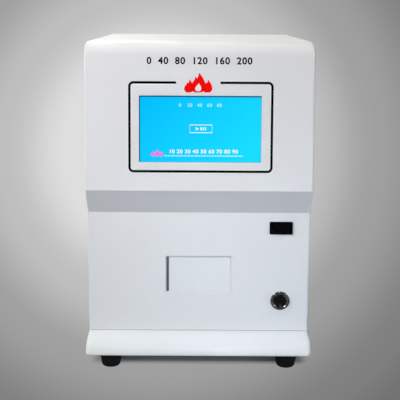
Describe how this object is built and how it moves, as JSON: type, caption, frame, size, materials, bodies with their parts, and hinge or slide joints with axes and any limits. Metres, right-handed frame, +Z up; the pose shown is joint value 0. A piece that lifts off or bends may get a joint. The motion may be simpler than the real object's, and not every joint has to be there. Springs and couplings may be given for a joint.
{
  "type": "flash point tester",
  "caption": "White bench cabinet with an overhanging touch display, a power rocker, a chrome push button and a motor-driven sample tray under a heated closed-cup oven.",
  "frame": {"origin": "middle of the footprint, on the table under the feet", "axes": "+X to the right as seen from the front, +Y to the rear, +Z up"},
  "size_m": [0.295, 0.35, 0.4255],
  "materials": {
    "moulded_white": "fine-grained off-white moulded plastic",
    "base_white": "satin white moulded plastic",
    "cover_white": "warm white powder coat on folded sheet",
    "rear_grey": "light grey powder coat",
    "foot_rubber": "matt black rubber",
    "screw_steel": "zinc-plated screws",
    "display_glass": "lit blue display under glass",
    "display_metal": "pressed display frame",
    "sheet_steel": "zinc-plated sheet steel",
    "rail_steel": "ground steel",
    "tray_white": "off-white painted tray front",
    "tray_aluminium": "anodised aluminium",
    "rack_plastic": "natural acetal",
    "gear_brass": "machined brass",
    "ptfe_white": "white PTFE and ceramic",
    "cup_metal": "nickel-plated cup",
    "motor_black": "black motor laminations and end caps",
    "oven_aluminium": "machined aluminium",
    "heater_brass": "sheathed heater cartridges",
    "probe_steel": "stainless probe wire",
    "switch_black": "glossy black switch plastic",
    "bezel_chrome": "polished chrome",
    "button_black": "glossy black cap",
    "nut_steel": "nickel-plated nut",
    "board_green": "green solder mask",
    "port_steel": "nickel-plated connector shell",
    "supply_metal": "pressed aluminium case",
    "module_black": "potted black module",
    "pump_grey": "dark grey pump",
    "fan_black": "black glass-filled plastic",
    "guard_steel": "bright-plated guard",
    "inlet_black": "black connector plastic"
  },
  "bodies": {
    "root": {"base_tray": "base_white", "front_panel": "moulded_white", "top_cover": "cover_white", "rear_panel": "rear_grey", "foot_front_left": "foot_rubber", "foot_front_right": "foot_rubber", "foot_rear_left": "foot_rubber", "foot_rear_right": "foot_rubber", "foot_screws": "screw_steel", "cover_screws": "screw_steel", "display_glass": "display_glass", "lcd_module": "display_metal", "display_straps": "sheet_steel", "display_screws": "screw_steel", "chassis_plate": "sheet_steel", "slide_frame_left": "sheet_steel", "slide_frame_right": "sheet_steel", "tray_rail_left": "rail_steel", "tray_rail_right": "rail_steel", "lift_guide": "oven_aluminium", "lift_motor": "motor_black", "lift_bracket": "sheet_steel", "tray_motor": "motor_black", "oven_deck": "sheet_steel", "oven_block": "oven_aluminium", "oven_jacket": "ptfe_white", "heater_cartridges": "heater_brass", "electrodes": "probe_steel", "electrode_sleeves": "ptfe_white", "thermocouple": "probe_steel", "rocker_housing": "switch_black", "button_bezel": "bezel_chrome", "button_nut": "nut_steel", "controller_board": "board_green", "board_bracket": "sheet_steel", "serial_port": "port_steel", "power_supply": "supply_metal", "ignition_module": "module_black", "air_pump": "pump_grey", "fan_frame": "fan_black", "fan_guard": "guard_steel", "mains_inlet": "inlet_black"},
    "tray": {"tray_plate": "tray_aluminium", "tray_front": "tray_white", "tray_rack": "rack_plastic", "nest_pins": "tray_aluminium"},
    "cup": {"cup_carrier": "ptfe_white", "sample_cup": "cup_metal"},
    "stirrer": {"stir_magnet": "ptfe_white"},
    "lift": {"lift_rod": "rail_steel"},
    "lift_gear": {"lift_pinion": "gear_brass", "lift_shaft": "rail_steel"},
    "tray_gear": {"tray_pinion": "gear_brass", "tray_shaft": "rail_steel"},
    "rocker": {"rocker_paddle": "switch_black"},
    "button": {"button_cap": "button_black"},
    "fan": {"fan_impeller": "fan_black"}
  },
  "joints": [
    {"name": "tray_slide", "type": "slide", "parent": "root", "child": "tray", "axis": [0, -1, 0], "range_m": [0, 0.09]},
    {"name": "lift_slide", "type": "slide", "parent": "root", "child": "lift", "axis": [0, 0, 1], "range_m": [0, 0.014]},
    {"name": "cup_rise", "type": "slide", "parent": "tray", "child": "cup", "axis": [0, 0, 1], "range_m": [0, 0.014]},
    {"name": "stir_spin", "type": "hinge", "parent": "cup", "child": "stirrer", "pos_m": [0, -0.084, 0.1136], "axis": [0, 0, 1], "continuous": true},
    {"name": "tray_gear_spin", "type": "hinge", "parent": "root", "child": "tray_gear", "pos_m": [0.039, -0.04385, 0.08685], "axis": [1, 0, 0], "range_deg": [0, 573]},
    {"name": "lift_gear_spin", "type": "hinge", "parent": "root", "child": "lift_gear", "pos_m": [0.015, -0.084, 0.0745], "axis": [0, 1, 0], "range_deg": [0, 90]},
    {"name": "rocker_tilt", "type": "hinge", "parent": "root", "child": "rocker", "pos_m": [0.1071, -0.1475, 0.1849], "axis": [0, 0, 1], "range_deg": [0, 16]},
    {"name": "button_press", "type": "slide", "parent": "root", "child": "button", "axis": [0, 1, 0], "range_m": [0, 0.002], "stiffness_N_per_m": 1000, "springref_m": -0.001},
    {"name": "fan_spin", "type": "hinge", "parent": "root", "child": "fan", "pos_m": [0, 0.155, 0.32], "axis": [0, 1, 0], "continuous": true}
  ],
  "couplings": [
    {"joint": "tray_gear_spin", "follows": "tray_slide", "rad_per_m": 111.11},
    {"joint": "lift_gear_spin", "follows": "lift_slide", "rad_per_m": 111.11},
    {"joint": "cup_rise", "follows": "lift_slide", "ratio": 1}
  ]
}
